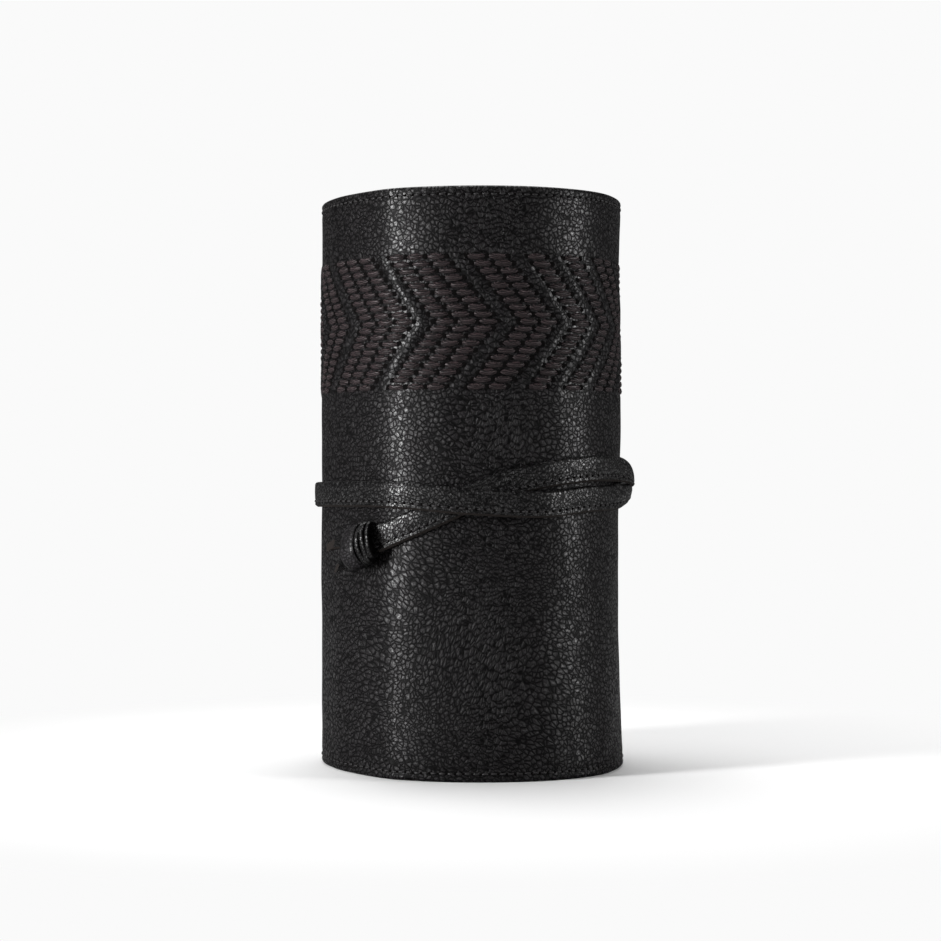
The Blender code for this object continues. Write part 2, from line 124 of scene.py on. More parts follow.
# Where the lengths of the leading strand and of the returning one end
LEADING_ENDS = (110.5, 149, 187, 226, 271.5, 315.5)
RETURNING_ENDS = (315.5, 271.5, 230)
SEWN_START = 79.5
CROSSING = (249, 293)
CROSSING_RAMP = 24
BIGHT_RAMP = (336, 346)
BIGHT_ANGLE = 364
NOSE_START = 50.5 * MM
NOSE_END = 60.6 * MM
NOSE_HEIGHT = 101.4 * MM
NOSE_BACK = 25 * MM
NOSE_FLAT = 0.97
NOSE_BLUNTNESS = 2.5
NOSE_BULGE = 2 * MM
NOSE_BULGE_REACH = 0.6
NOSE_BULGE_HEIGHTS = (93 * MM, 99.5 * MM, 103.5 * MM, 105 * MM)
BULGE_FADE = 4 * MM
ROUTE_STEP = 0.5
TURN_FACETS = 12
# How high each strand's middle runs, in widths of the tie above TIE_HEIGHT, by its angle
LEADING_SHARES = (
    (70, 0), (110, 0), (180, 0), (215, 0.05), (243, 0.045), (270, -0.2), (295, -0.31), (317, -0.13),
    (334, -0.08), (345, -0.045), (356, 0), (364, 0.19), (372, 0.4),
)
RETURNING_SHARES = (
    (206, -2.6), (222, -2.22), (230, -1.95), (238, -1.55), (254.6, -0.8), (277, 0.26), (295, 0.78),
    (317, 1.045), (334, 1.055), (345, 1.01), (356, 0.87), (364, 0.68), (372, 0.5),
)
KNOT_ANGLE = 230
KNOT_DEPTH = 10 * MM
KNOT_RAMP = (232, 240)

Arc = namedtuple("Arc", "centre radius start")
Station = namedtuple("Station", "distance centre across outward")

# The picture: greys of the backdrop, floor and room, how these meet, and the camera's lens and sensor in mm
BACKGROUND = (0.956, 0.956, 0.956)
FLOOR = (0.9, 0.9, 0.9)
FLOOR_MIRRORED = (0.22, 0.22, 0.22)
ROOM = (0.05, 0.05, 0.05)
MIRRORED = 0.08
FLOOR_FADE = (0.1, 0.26)
FLOOR_SIZE = 20
BACKDROP_START = 0.4
LENS = 87.85
SENSOR = 36
CAMERA_PLACE = Vector((-1.52, -845.65, 107.1)) * MM
AIM = Vector((0, 0, 0.1))
# Each lamp's degrees from the front to the right, height, distance, width and height in m, and watts
LAMPS = {
    "left_softbox": (-60, 0.2, 1.0, 0.18, 0.9, 21),
    "right_softbox": (75, 0.2, 0.9, 0.25, 0.8, 7),
    "top_softbox": (-165, 1.4, 0.4, 0.9, 0.9, 17.5),
}

CHANCE = random.Random(7)


def ease(value):
    """Turn a climb from 0 to 1 into one that starts and ends gently."""
    value = min(max(value, 0), 1)
    return value * value * (3 - 2 * value)


def polar(radius, angle, height=0):
    """The point at a radius and an angle round the upright axis."""
    return Vector((radius * math.cos(angle), radius * math.sin(angle), height))


def through(points, at):
    """The value at one place on a smooth curve through pairs of place and value."""
    last = len(points) - 1
    piece = max(index for index in range(last) if index == 0 or points[index][0] <= at)
    (low, start), (high, end) = points[piece], points[piece + 1]
    before, after = points[max(piece - 1, 0)], points[min(piece + 2, last)]
    span = high - low
    leave = (end - before[1]) / (high - before[0]) * span
    arrive = (after[1] - start) / (after[0] - low) * span
    share = (at - low) / span
    rest = 1 - share
    return (
        start * (1 + 2 * share) * rest * rest + leave * share * rest * rest
        + end * (3 - 2 * share) * share * share - arrive * share * share * rest
    )


# The roll seen from above

def lay_out():
    """The arc of each panel: round the roll at full radius, then each tighter than the last by one share."""
    turn = PANEL_WIDTH / ROLL_RADIUS
    flap_end = FRONT_FOLD_ANGLE + PANELS_TO_FRONT_FOLD * turn
    centre, radius, angle = Vector((0, 0, 0)), ROLL_RADIUS, flap_end
    arcs = []
    for _ in range(PANEL_COUNT):
        if angle - turn < flap_end - 2 * math.pi + TIGHTEN_LEAD:
            join = centre + polar(radius, angle)
            radius *= TIGHTEN_SHARE
            centre = join - polar(radius, angle)
        arcs.append(Arc(centre, radius, angle))
        angle -= PANEL_WIDTH / radius
    return arcs


ARCS = lay_out()


def roll_up(spot):
    """Bend a flat point of the leather to its place in an even roll."""
    panel = min(max(int(spot.x // PANEL_WIDTH), 0), PANEL_COUNT - 1)
    arc = ARCS[panel]
    angle = arc.start - (spot.x - panel * PANEL_WIDTH) / arc.radius
    return arc.centre + polar(arc.radius + spot.y, angle, spot.z)


def waist(height):
    """How many mm the right side stands out at a height: narrower at two heights, and flared at the foot."""
    up = height / MM
    hollows = 1.3 * math.exp(-((up - 66) / 40) ** 2) + 0.9 * math.exp(-((up - 172) / 30) ** 2)
    return 0.7 * math.exp(-(up / 16) ** 2) - hollows


def settle(spot):
    """Move a point of the even roll to where the filled, slightly uneven one has it."""
    degrees = math.degrees(math.atan2(spot.y, spot.x))
    front = (degrees + 270) % 360 - 180
    share = ease((math.hypot(spot.x, spot.y) - STEADY_CORE) / (ROLL_RADIUS - STEADY_CORE))
    side = ease(spot.x / ROLL_RADIUS)
    push = Vector((waist(spot.z) * side, -through(FRONT_PUSH, front), 0)) * MM * share
    return spot + push + ROLL_AXIS


def place(spot):
    """Set a flat point of the leather into its place in the roll."""
    return settle(roll_up(spot))


def lean(along):
    """How far a chevron's arm runs back for each step up or down, at a place along the leather."""
    share = FRONT_LEAN + LEAN_GROWTH * (FRONT_LINE - along)
    return min(max(share, LEAN_LIMITS[0]), LEAN_LIMITS[1])


def chevrons():
    """Where the middles of the bare chevrons cross the band's middle row."""
    apex, step = FIRST_CHEVRON, 0
    while apex < SHEET_LENGTH + CHEVRONS_PAST_END:
        yield apex
        apex += CHEVRON_STEPS[step % len(CHEVRON_STEPS)]
        step += 1


APEXES = list(chevrons())


def bare_share(along, height):
    """How far inside a bare chevron a place of the band lies, from 0 at its edge to 1 at its middle."""
    off = abs(height - BAND_MIDDLE)
    nearest = min(abs(along - off * lean(along) - apex) for apex in APEXES)
    return ease(1 - nearest / (BARE_STRIPE / 2))


def relief(along, height):
    """How far the outer face stands out from its even surface: soft waves, seams and the puffed chevrons."""
    x, z, top = along / MM, height / MM, ROLL_HEIGHT / MM
    waves = (
        0.22 * math.sin(x / 9.1 + z / 31) * math.sin(z / 23 + 1.1)
        + 0.16 * math.sin(x / 5.3 - z / 17 + 2) * math.sin(z / 12.7 + x / 29)
        + 0.07 * math.sin(x / 2.9 + z / 7.7) * math.sin(z / 5.9 - x / 11)
    )
    calm = ease(z / 12) * ease((top - z) / 12)
    seam = sum(math.exp(-((z - line) / 1.1) ** 2) for line in (3, top - 3))
    puff = sum(math.exp(-((z - line) / 0.9) ** 2) for line in (1.2, top - 1.2))
    reach = ROWS * ROW_PITCH / 2
    inside = ease((reach - abs(height - BAND_MIDDLE)) / ROW_PITCH + 0.5)
    band = inside * (0.8 * bare_share(along, height) - 0.3)
    return (waves * calm - 0.3 * seam + 0.08 * puff + band) * MM


# Shapes that are drawn out flat and then bent

def outline(points):
    """A flat face, from pairs of across and up in mm."""
    mesh = bmesh.new()
    mesh.faces.new([mesh.verts.new((0, across * MM, up * MM)) for across, up in points])
    return mesh


def round_corners(mesh, corners, radius, segments):
    """Round the named corners of a flat outline."""
    found = [
        vert for vert in mesh.verts
        if any((vert.co - Vector((0, across * MM, up * MM))).length < SAME_PLACE for across, up in corners)
    ]
    bmesh.ops.bevel(
        mesh, geom=found, offset=radius, offset_type="OFFSET", segments=segments, profile=0.5,
        affect="VERTICES", material=-1,
    )


def split_long_edges(mesh, length):
    """Cut an outline's long edges into even steps of about one length."""
    for edge in list(mesh.edges):
        cuts = round(edge.calc_length() / length) - 1
        if cuts > 0:
            bmesh.ops.subdivide_edges(mesh, edges=[edge], cuts=cuts)


def draw_out(mesh, start, end, steps):
    """Draw a flat outline out along x in even steps, into a closed solid with its ends capped."""
    bmesh.ops.translate(mesh, verts=mesh.verts, vec=Vector((start, 0, 0)))
    step = Vector(((end - start) / steps, 0, 0))
    bmesh.ops.spin(
        mesh, geom=mesh.verts[:] + mesh.edges[:] + mesh.faces[:], cent=Vector(), axis=Vector((1, 0, 0)),
        dvec=step, angle=0, steps=steps, use_duplicate=False,
    )
    bmesh.ops.recalc_face_normals(mesh, faces=mesh.faces)


def move_points(mesh, move):
    """Move each point of a mesh to where a function sets it."""
    for vert in mesh.verts:
        vert.co = move(vert.co)


def lay_pattern(mesh, flat=lambda spot: (spot.x, spot.z + spot.y)):
    """Keep each corner's place on the flat leather, in metres, as the map that the finishes follow."""
    layer = mesh.loops.layers.uv.verify()
    for face in mesh.faces:
        for loop in face.loops:
            loop[layer].uv = flat(loop.vert.co)


def keep(name, mesh):
    """Turn a mesh that is still being worked on into a lasting one."""
    data = bpy.data.meshes.new(name)
    mesh.to_mesh(data)
    mesh.free()
    return data


def show(name, data):
    """Put a mesh, a lamp or a camera into the scene."""
    holder = bpy.data.objects.new(name, data)
    bpy.context.scene.collection.objects.link(holder)
    return holder


def add_piece(name, mesh, slot, *finishes, crease=50):
    """Turn a finished mesh into a named piece, smooth but for its sharp corners."""
    for face in mesh.faces:
        face.smooth = True
    for edge in mesh.edges:
        if len(edge.link_faces) == 2 and edge.calc_face_angle() > math.radians(crease):
            edge.smooth = False
    data = keep(name, mesh)
    for finish in finishes:
        data.materials.append(finish)
    piece = show(name, data)
    return piece


def small_shape(length, height, depth, around, rings, sink=1.0):
    """A small rounded shape with its long axis along x, to be repeated many times."""
    mesh = bmesh.new()
    bmesh.ops.create_uvsphere(mesh, u_segments=around, v_segments=rings, radius=1)
    for vert in mesh.verts:
        up, across, along = vert.co
        vert.co = (along * length / 2, across * depth * (1 if across > 0 else sink), up * height / 2)
    bmesh.ops.recalc_face_normals(mesh, faces=mesh.faces)
    return keep("small_shape", mesh)


def set_in(mesh, shape, move):
    """Add a copy of a small shape to a mesh and move each of its points."""
    before = len(mesh.verts)
    mesh.from_mesh(shape)
    mesh.verts.ensure_lookup_table()
    for vert in mesh.verts[before:]:
        vert.co = move(vert.co)


# Finishes

# Where the grain is pulled: a middle on the flat leather, the way, how near and how far in mm, and how much
PULLED_GRAIN = (
    ((176, 42, 0), (-0.36, 0.93, 0), 8, 46, 0.35), ((176, 42, 0), (0.93, 0.36, 0), 8, 46, -0.5),
    ((206, 72, 0), (0.1, 0.99, 0), 4, 26, 0.3), ((206, 72, 0), (0.99, -0.1, 0), 4, 26, -0.3),
    ((163, 120, 0), (-0.2, 0.98, 0), 4, 24, 0.3), ((163, 120, 0), (0.98, 0.2, 0), 4, 24, -0.35),
)


class Value:
    """A number or colour that a shader node gives, with Python's own signs for its sums."""

    def __init__(self, finish, socket):
        self.finish, self.socket = finish, socket

    def math(self, operation, *values):
        inputs = dict(enumerate(values))
        return self.finish.node("ShaderNodeMath", {"operation": operation}, inputs)

    def __add__(self, other):
        return self.math("ADD", self, other)

    def __radd__(self, other):
        return self.math("ADD", other, self)

    def __sub__(self, other):
        return self.math("SUBTRACT", self, other)

    def __rsub__(self, other):
        return self.math("SUBTRACT", other, self)

    def __mul__(self, other):
        return self.math("MULTIPLY", self, other)

    def __rmul__(self, other):
        return self.math("MULTIPLY", other, self)

    def sine(self):
        return self.math("SINE", self)


class Nodes:
    """A tree of shader nodes, and the ways that nodes are added to it."""

    def __init__(self, tree):
        self.tree = tree

    def node(self, kind, settings=None, inputs=None, output=0):
        """Add a node: its settings first, then the values or links of its sockets."""
        node = self.tree.nodes.new(kind)
        for name, value in (settings or {}).items():
            setattr(node, name, value)
        for name, value in (inputs or {}).items():
            self.put(node.inputs[name], value)
        return Value(self, node.outputs[output])

    def put(self, socket, value):
        if isinstance(value, Value):
            self.tree.links.new(value.socket, socket)
        elif hasattr(value, "__len__") and len(value) == 3 and socket.type == "RGBA":
            socket.default_value = (*value, 1)
        else:
            socket.default_value = value

    def ramp(self, value, low, high, first=0, last=1):
        """Climb gently from a first to a last number while a value goes from low to high."""
        inputs = {"Value": value, "From Min": low, "From Max": high, "To Min": first, "To Max": last}
        return self.node("ShaderNodeMapRange", {"interpolation_type": "SMOOTHSTEP"}, inputs)

    def vector(self, operation, first, second, output=0):
        name = "Scale" if operation == "SCALE" else 1
        return self.node("ShaderNodeVectorMath", {"operation": operation}, {0: first, name: second}, output)

    def mix(self, share, first, second):
        return self.node("ShaderNodeMix", {"data_type": "RGBA"}, {0: share, 6: first, 7: second}, 2)

    def seen(self, mirrored):
        """1 for what the camera sees directly or through glass, and a share of that in reflections."""
        camera, clear, gloss = (
            self.node("ShaderNodeLightPath", output=name)
            for name in ("Is Camera Ray", "Is Transmission Ray", "Is Glossy Ray")
        )
        return camera + clear + gloss * mirrored


class Finish(Nodes):
    """One material: its main shader and the nodes that feed it."""

    def __init__(self, name, color, roughness, specular):
        self.material = bpy.data.materials.new(name)
        self.material.use_nodes = True
        super().__init__(self.material.node_tree)
        self.shader = self.tree.nodes["Principled BSDF"]
        self.shader.inputs["Base Color"].default_value = (*color, 1)
        self.shader.inputs["Roughness"].default_value = roughness
        self.shader.inputs["Specular IOR Level"].default_value = specular
        self.material.diffuse_color = (*color, 1)

    def drive(self, name, value):
        self.put(self.shader.inputs[name], value)

    def flat_mm(self):
        """A point's place on the flat leather, in millimetres."""
        return self.vector("SCALE", self.node("ShaderNodeUVMap"), 1000)

    def noise(self, spot, size, detail=2, roughness=0.5, output="Fac"):
        """Cloudy noise with features of about one size in millimetres."""
        inputs = {"Vector": spot, "Scale": 1 / size, "Detail": detail, "Roughness": roughness}
        return self.node("ShaderNodeTexNoise", {}, inputs, output)

    def wander(self, spot, size, reach):
        """Shift a place by up to about one reach, so that a pattern on it runs less evenly."""
        cloud = self.noise(spot, size, 1, output="Color")
        centred = self.vector("SUBTRACT", cloud, (0.5, 0.5, 0.5))
        return self.vector("ADD", spot, self.vector("SCALE", centred, reach * 2))

    def cells(self, spot, size, reach):
        """Leather cells: 0 in the creases between them, climbing to 1 on their rounded tops."""
        inputs = {"Vector": spot, "Scale": 1 / size, "Randomness": 0.95}
        edge = self.node("ShaderNodeTexVoronoi", {"feature": "DISTANCE_TO_EDGE"}, inputs, "Distance")
        return self.ramp(edge, 0, reach)

    def drawn_out(self, spot, middle, way, near, far, share):
        """Draw a pattern out along one way round a middle, as leather does where it is pulled."""
        offset = self.vector("SUBTRACT", spot, middle)
        pull = self.ramp(self.vector("LENGTH", offset, (0, 0, 0), "Value"), near, far, share, 0)
        along = self.vector("DOT_PRODUCT", offset, way, "Value")
        return self.vector("ADD", spot, self.vector("SCALE", way, along * pull * -1))

    def bump(self, height, distance, strength=1.0):
        inputs = {"Height": height, "Distance": distance, "Strength": strength}
        self.drive("Normal", self.node("ShaderNodeBump", {}, inputs))


def pebbled_leather():
    """Black leather with a pebbled grain of nearly 2 mm, worn a little smoother on its tops."""
    finish = Finish("black_pebbled_leather", (0.012, 0.0113, 0.0118), 0.42, 0.1)
    finish.drive("Coat Roughness", 0.38)
    flat = finish.flat_mm()
    for middle, way, near, far, share in PULLED_GRAIN:
        flat = finish.drawn_out(flat, middle, way, near, far, share)
    uneven = finish.wander(flat, 3.1, 0.5)
    pebbles = finish.cells(uneven, 1.7, 0.2)
    domes = finish.cells(uneven, 1.7, 0.6)
    fine = finish.cells(uneven, 0.62, 0.3)
    patches = finish.noise(flat, 16, 3)
    glints = finish.ramp(finish.noise(flat, 0.75, 2, 0.6), 0.44, 0.62)
    pores = finish.noise(flat, 0.3, 2)
    height = pebbles * 0.4 + domes * 0.6 + fine * pebbles * 0.16 + pores * 0.06 + patches * 0.3
    finish.bump(height, 0.42 * MM)
    tops = pebbles * (0.7 + 0.3 * fine)
    # Painted highlight and shade: the Base Color is lighter on the pebble tops and near black in the creases
    # between them
    finish.drive("Base Color", finish.mix(tops, (0.0002, 0.0001, 0.0002), (0.0096, 0.0082, 0.0091)))
    finish.drive("Roughness", 0.58 - 0.24 * tops - 0.08 * patches)
    finish.drive("Coat Weight", pebbles * (0.25 + glints * domes * (1.1 + 1.5 * patches)))
    return finish.material


def lining_leather():
    """Thin, fine-grained charcoal leather."""
    finish = Finish("lining_leather", (0.03, 0.027, 0.026), 0.7, 0.3)
    flat = finish.wander(finish.flat_mm(), 1.5, 0.3)
    grain = finish.cells(flat, 0.55, 0.3)
    patches = finish.noise(flat, 12, 3)
    finish.bump(grain + 0.3 * patches, 0.06 * MM, 0.7)
    finish.drive("Base Color", finish.mix(patches, (0.022, 0.02, 0.019), (0.038, 0.034, 0.033)))
    finish.drive("Roughness", 0.78 - 0.12 * grain)
    return finish.material


def strap_leather(name, polish, depth, crease_shade, top):
    """The tie's smoother leather, with a finer grain and a soft polish from handling."""
    finish = Finish(name, top, 0.4, 0.12)
    finish.drive("Coat Roughness", 0.4)
    flat = finish.wander(finish.flat_mm(), 2.1, 0.5)
    grain = finish.cells(flat, 1.3, 0.3)
    fine = finish.cells(flat, 0.5, 0.4)
    patches = finish.noise(flat, 6, 3)
    glints = finish.ramp(finish.noise(flat, 0.7, 2, 0.6), 0.44, 0.62)
    finish.bump(grain * 0.8 + fine * 0.15 + patches * 0.5, depth)
    # Painted shade: the Base Color runs from the top colour on the grain's cells to a darker colour in the
    # creases between them
    finish.drive("Base Color", finish.mix(grain, crease_shade, top))
    finish.drive("Roughness", 0.5 - 0.12 * grain - 0.08 * patches)
    finish.drive("Coat Weight", grain * (0.36 + glints * 1.9) * polish)
    return finish.material


def satin_thread():
    """Dark brown-black embroidery thread laid in fine strands along each stitch."""
    finish = Finish("satin_thread", (0.02, 0.014, 0.015), 0.55, 0.22)
    flat = finish.flat_mm()
    uneven = finish.wander(finish.wander(flat, 2.3, 0.5), 0.7, 0.2)
    parts = finish.node("ShaderNodeSeparateXYZ", {}, {0: uneven}, "Y")
    strands = (parts * (2 * math.pi / 0.62)).sine() * 0.5 + 0.5
    patches = finish.noise(flat, 3.1, 2)
    fuzz = finish.noise(flat, 0.5, 3, 0.7)
    finish.bump(strands + 1.2 * fuzz, 0.3 * MM)
    # Painted shade and the thread's own tone: near black in the gaps between the strands, with patches and
    # fuzz varying the tone along them
    shade = strands * (0.35 + 0.65 * patches) * (0.4 + fuzz)
    finish.drive("Base Color", finish.mix(shade, (0.0002, 0.0002, 0.0002), (0.074, 0.047, 0.051)))
    finish.drive("Roughness", 0.66 - 0.16 * strands)
    finish.drive("Coat Roughness", 0.42)
    finish.drive("Coat Weight", strands * fuzz * (0.3 + 0.9 * patches))
    return finish.material


def sewing_thread():
    """Black waxed thread, with its twist showing as slanting bands."""
    finish = Finish("sewing_thread", (0.01, 0.0095, 0.01), 0.5, 0.4)
    flat = finish.flat_mm()
    slant = finish.node("ShaderNodeVectorMath", {"operation": "DOT_PRODUCT"}, {0: flat, 1: (8, 9, 0)}, 1)
    twist = slant.sine() * 0.5 + 0.5
    finish.bump(twist, 0.06 * MM)
    finish.drive("Base Color", finish.mix(twist, (0.006, 0.0056, 0.006), (0.02, 0.018, 0.019)))
    return finish.material


def fibrous(finish, noise, depth, dark, light):
    """Rough fibres over a dull finish: one noise gives their bump and their two shades."""
    fibres = finish.noise(finish.flat_mm(), *noise)
    finish.bump(fibres, depth)
    finish.drive("Base Color", finish.mix(fibres, dark, light))
    return finish.material


def raw_edge():
    """The cut edge of the leather, brown and fibrous."""
    finish = Finish("raw_leather_edge", (0.016, 0.013, 0.012), 0.85, 0.12)
    return fibrous(finish, (0.35, 4, 0.7), 0.08 * MM, (0.004, 0.0034, 0.0031), (0.024, 0.0192, 0.0174))


def needle_hole():
    """The unlit inside of a needle hole, rough with cut fibres."""
    finish = Finish("needle_hole", (0.0025, 0.0022, 0.0022), 0.95, 0.05)
    return fibrous(finish, (0.2, 2), 0.05 * MM, (0.0012, 0.001, 0.001), (0.004, 0.0034, 0.0034))


def knot_painted_shade():
    """Painted shade for the knot: black and dull, on the tie's folded edges inside it and on its core."""
    finish = Finish("knot_painted_shade", (0.002, 0.0018, 0.0019), 0.9, 0.06)
    return fibrous(finish, (0.5, 3), 0.12 * MM, (0.0008, 0.0007, 0.0008), (0.004, 0.0036, 0.0038))


PEBBLED = pebbled_leather()
LINING_LEATHER = lining_leather()
STRAP = strap_leather("tie_leather", 1.0, 0.34 * MM, (0.0003, 0.0002, 0.0003), (0.008, 0.0073, 0.0077))
# A lighter copy of the tie's leather for the knot's broad turn, as painted light
KNOT_LEATHER_PAINTED_LIGHT = strap_leather("knot_leather_painted_light", 0.3, 0.12 * MM, (0.003, 0.0027, 0.003), (0.021, 0.0193, 0.021))
# A darker copy of the tie's leather for the knot's tails, as painted shade
TAIL_LEATHER_PAINTED_SHADE = strap_leather("tail_leather_painted_shade", 0.12, 0.3 * MM, (0.0002, 0.0001, 0.0002), (0.003, 0.0026, 0.003))
RAW_EDGE = raw_edge()
SATIN = satin_thread()
THREAD = sewing_thread()
HOLE = needle_hole()
KNOT_PAINTED_SHADE = knot_painted_shade()


# The long strips, cut into lengths half way between their fold lines

BEND_REACH = 19 * MM


def panel_name(panel):
    """The name of a panel's body."""
    return f"panel_{panel:02d}"


def lengths():
    """Each length of the rolled strip: its number, and where it starts and ends along the leather."""
    for number in range(PANEL_COUNT + 1):
        start = max(0, number - 0.5) * PANEL_WIDTH
        yield number, start, min(PANEL_COUNT, number + 0.5) * PANEL_WIDTH


def carry(piece, number):
    """Let the first and the last length ride on their panel, and bake the others' transforms into their
    points.
    """
    if number in (0, PANEL_COUNT):
        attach(piece, panel_name(max(number, 1)))
        return
    fold = Vector((number * PANEL_WIDTH, 0, ROLL_HEIGHT / 2))
    reach = Vector((BEND_REACH, 0, 0))
    start, end = (roll_up(spot) + ROLL_AXIS for spot in (fold - reach, fold + reach))
    panel_name(number)
    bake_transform(piece)
    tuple(start)
    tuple(end)


def shape_outer(mesh):
    """Bend the leather to the roll, with its waves and seams on the outer face."""
    for vert in mesh.verts:
        spot = vert.co.copy()
        if spot.y > -0.5 * LEATHER:
            spot.y += relief(spot.x, spot.z)
        if min(spot.x, SHEET_LENGTH - spot.x) < SAME_PLACE:
            spot.y = (spot.y - LEATHER) * 0.5
        vert.co = place(spot)


def add_outer_leather():
    """The outer sheet, with its upper and lower edges turned in."""
    top, depth, face = ROLL_HEIGHT / MM, HEMMED / MM, HEM_FACE / MM
    skin, hem = LEATHER / MM, HEM / MM
    corners = (
        (0, 0), (0, top), (-depth, top), (-depth, top - hem), (-face, top - hem), (-face, top - skin),
        (-skin, top - skin), (-skin, skin), (-face, skin), (-face, hem), (-depth, hem), (-depth, 0),
    )
    for number, start, end in lengths():
        mesh = outline(corners)
        round_corners(mesh, ((0, 0), (0, top), (-depth, top), (-depth, 0)), EDGE_ROUNDING, 4)
        split_long_edges(mesh, LEATHER_STEP)
        draw_out(mesh, start, end, round((end - start) / LEATHER_STEP))
        lay_pattern(mesh)
        shape_outer(mesh)
        piece = add_piece(f"outer_leather_{number:02d}", mesh, "black_leather", PEBBLED)
        if number:
            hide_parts(f"outer_panel_{number:02d}")
        carry(piece, number)


def add_lining():
    """The thin sheet that the outer leather's turned edges hold."""
    foot = LINING_FACE / MM
    top = ROLL_HEIGHT / MM - foot
    near, far = LINING_FACE / MM, LINED / MM
    for number, start, end in lengths():
        mesh = outline(((-near, foot), (-near, top), (-far, top), (-far, foot)))
        split_long_edges(mesh, LINING_STEP_UP)
        draw_out(mesh, start, end, round((end - start) / LINING_STEP))
        lay_pattern(mesh)
        move_points(mesh, place)
        piece = add_piece(f"lining_strip_{number:02d}", mesh, "lining", LINING_LEATHER)
        if number:
            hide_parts(f"lining_{number:02d}")
        carry(piece, number)


def stitch_holes(row):
    """The needle holes of one row: for each stitched band, the places of its holes along the leather."""
    height = BAND_MIDDLE + (row - (ROWS - 1) / 2) * ROW_PITCH
    off = abs(height - BAND_MIDDLE)
    for low, high in zip(APEXES, APEXES[1:]):
        width = high - low - BARE_STRIPE
        count = max(1, round(width / STITCH_WIDTH))
        first = low + BARE_STRIPE / 2
        holes = []
        for hole in range(count + 1):
            along = first + width * hole / count
            holes.append(along + off * lean(along))
        yield height, holes


def sort_into_lengths(items):
    """Share out things by their place along the leather, one list for each length."""
    shares = {number: [] for number, _, _ in lengths()}
    for item in items:
        if 0 < item[0] < SHEET_LENGTH:
            shares[int(item[0] / PANEL_WIDTH + 0.5)].append(item)
    return shares


def add_embroidery():
    """The band's satin stitches, and the needle holes between them."""
    stitches, holes = [], []
    for row in range(ROWS):
        for height, places in stitch_holes(row):
            for left, right in zip(places, places[1:]):
                stitches.append(((left + right) / 2, height, right - left))
            holes += [(spot, height) for spot in places]
    stitches = [item for item in stitches if BARE_END < item[0] < SHEET_LENGTH - BARE_END]
    pad = small_shape(1, 1, 1, 8, 5, sink=0.5)
    cup = small_shape(*NEEDLE_CUP, 8, 4)
    for number, found in sort_into_lengths(stitches).items():
        mesh = bmesh.new()
        for along, height, width in found:
            length = width - SATIN_GAP - CHANCE.uniform(-0.15, 0.15) * MM
            tall = SATIN_HEIGHT + CHANCE.uniform(-0.2, 0.1) * MM
            rise = SATIN_RISE + CHANCE.uniform(-0.1, 0.1) * MM
            tilt = CHANCE.uniform(-0.02, 0.02)
            across = CHANCE.uniform(-0.12, 0.12) * MM
            base = relief(along, height)

            def lay(spot):
                """Square the stitch off between its pinched ends and lay it on the leather."""
                full = (1 - abs(spot.x * 2) ** 2.3) ** 0.7 if abs(spot.x) < 0.5 else 0
                ring = max(math.sqrt(max(1 - (spot.x * 2) ** 2, 0)), 0.05)
                x, z = spot.x * length, spot.z * tall * full / ring
                y = base + SATIN_PROUD + spot.y * rise * full / ring
                return Vector((along + x + across, y, height + z + tilt * x))

            set_in(mesh, pad, lay)
        finish_small(mesh, f"embroidery_{number:02d}", number, SATIN)
    for number, found in sort_into_lengths(holes).items():
        mesh = bmesh.new()
        for along, height in found:
            base = relief(along, height)
            shift = Vector((along + CHANCE.uniform(-0.1, 0.1) * MM, base + CUP_PROUD, height))
            set_in(mesh, cup, lambda spot: spot + shift)
        finish_small(mesh, f"needle_holes_{number:02d}", number, HOLE)


def finish_small(mesh, name, number, *finishes):
    """Bend a mesh of small shapes to the roll, and let it ride on its panel if its length is the first or the
    last.
    """
    lay_pattern(mesh)
    move_points(mesh, place)
    carry(add_piece(name, mesh, "thread", *finishes, crease=80), number)


SEAM_PITCH = 3 * MM
SEAM_INSET = 3 * MM
STITCH_PROUD = 0.1 * MM
BACK_PROUD = 0.05 * MM
ALONG, UPWARD = Vector((SEAM_PITCH, 0, 0)), Vector((0, 0, SEAM_PITCH))
STITCH = small_shape(2.2 * MM, 0.85 * MM, 0.42 * MM, 6, 5)
STITCH_HOLE = small_shape(0.95 * MM, 1.1 * MM, 0.2 * MM, 6, 4)


def add_stitch(mesh, spot, step):
    """One stitch of a running seam, and the needle hole half a step on."""
    turn = Vector((1, 0, 0)).rotation_difference(step).to_matrix()
    set_in(mesh, STITCH, lambda corner: turn @ corner + spot)
    before = len(mesh.faces)
    hole = spot + step / 2
    set_in(mesh, STITCH_HOLE, lambda corner: turn @ corner + hole)
    mesh.faces.ensure_lookup_table()
    for face in mesh.faces[before:]:
        face.material_index = 1


def add_edge_stitching():
    """Running seams 3 mm in from every edge, through the outer face and the turned edge behind it."""
    places = [
        ((item + 0.5) * SEAM_PITCH, height, ALONG)
        for item in range(int(SHEET_LENGTH / SEAM_PITCH))
        for height in (SEAM_INSET, ROLL_HEIGHT - SEAM_INSET)
    ]
    rows = int((ROLL_HEIGHT - 4 * SEAM_INSET) / SEAM_PITCH)
    places += [
        (along, 2 * SEAM_INSET + (row + 0.5) * SEAM_PITCH, UPWARD)
        for row in range(rows) for along in (SEAM_INSET, SHEET_LENGTH - SEAM_INSET)
    ]
    for number, found in sort_into_lengths(places).items():
        mesh = bmesh.new()
        for along, height, step in found:
            faces = [relief(along, height) + STITCH_PROUD]
            if step is ALONG:
                faces.append(-HEMMED - BACK_PROUD)
            for face in faces:
                drop = CHANCE.uniform(-0.1, 0.1) * MM
                add_stitch(mesh, Vector((along, face, height + drop)), step)
        finish_small(mesh, f"edge_stitching_{number:02d}", number, THREAD, HOLE)


# The tie

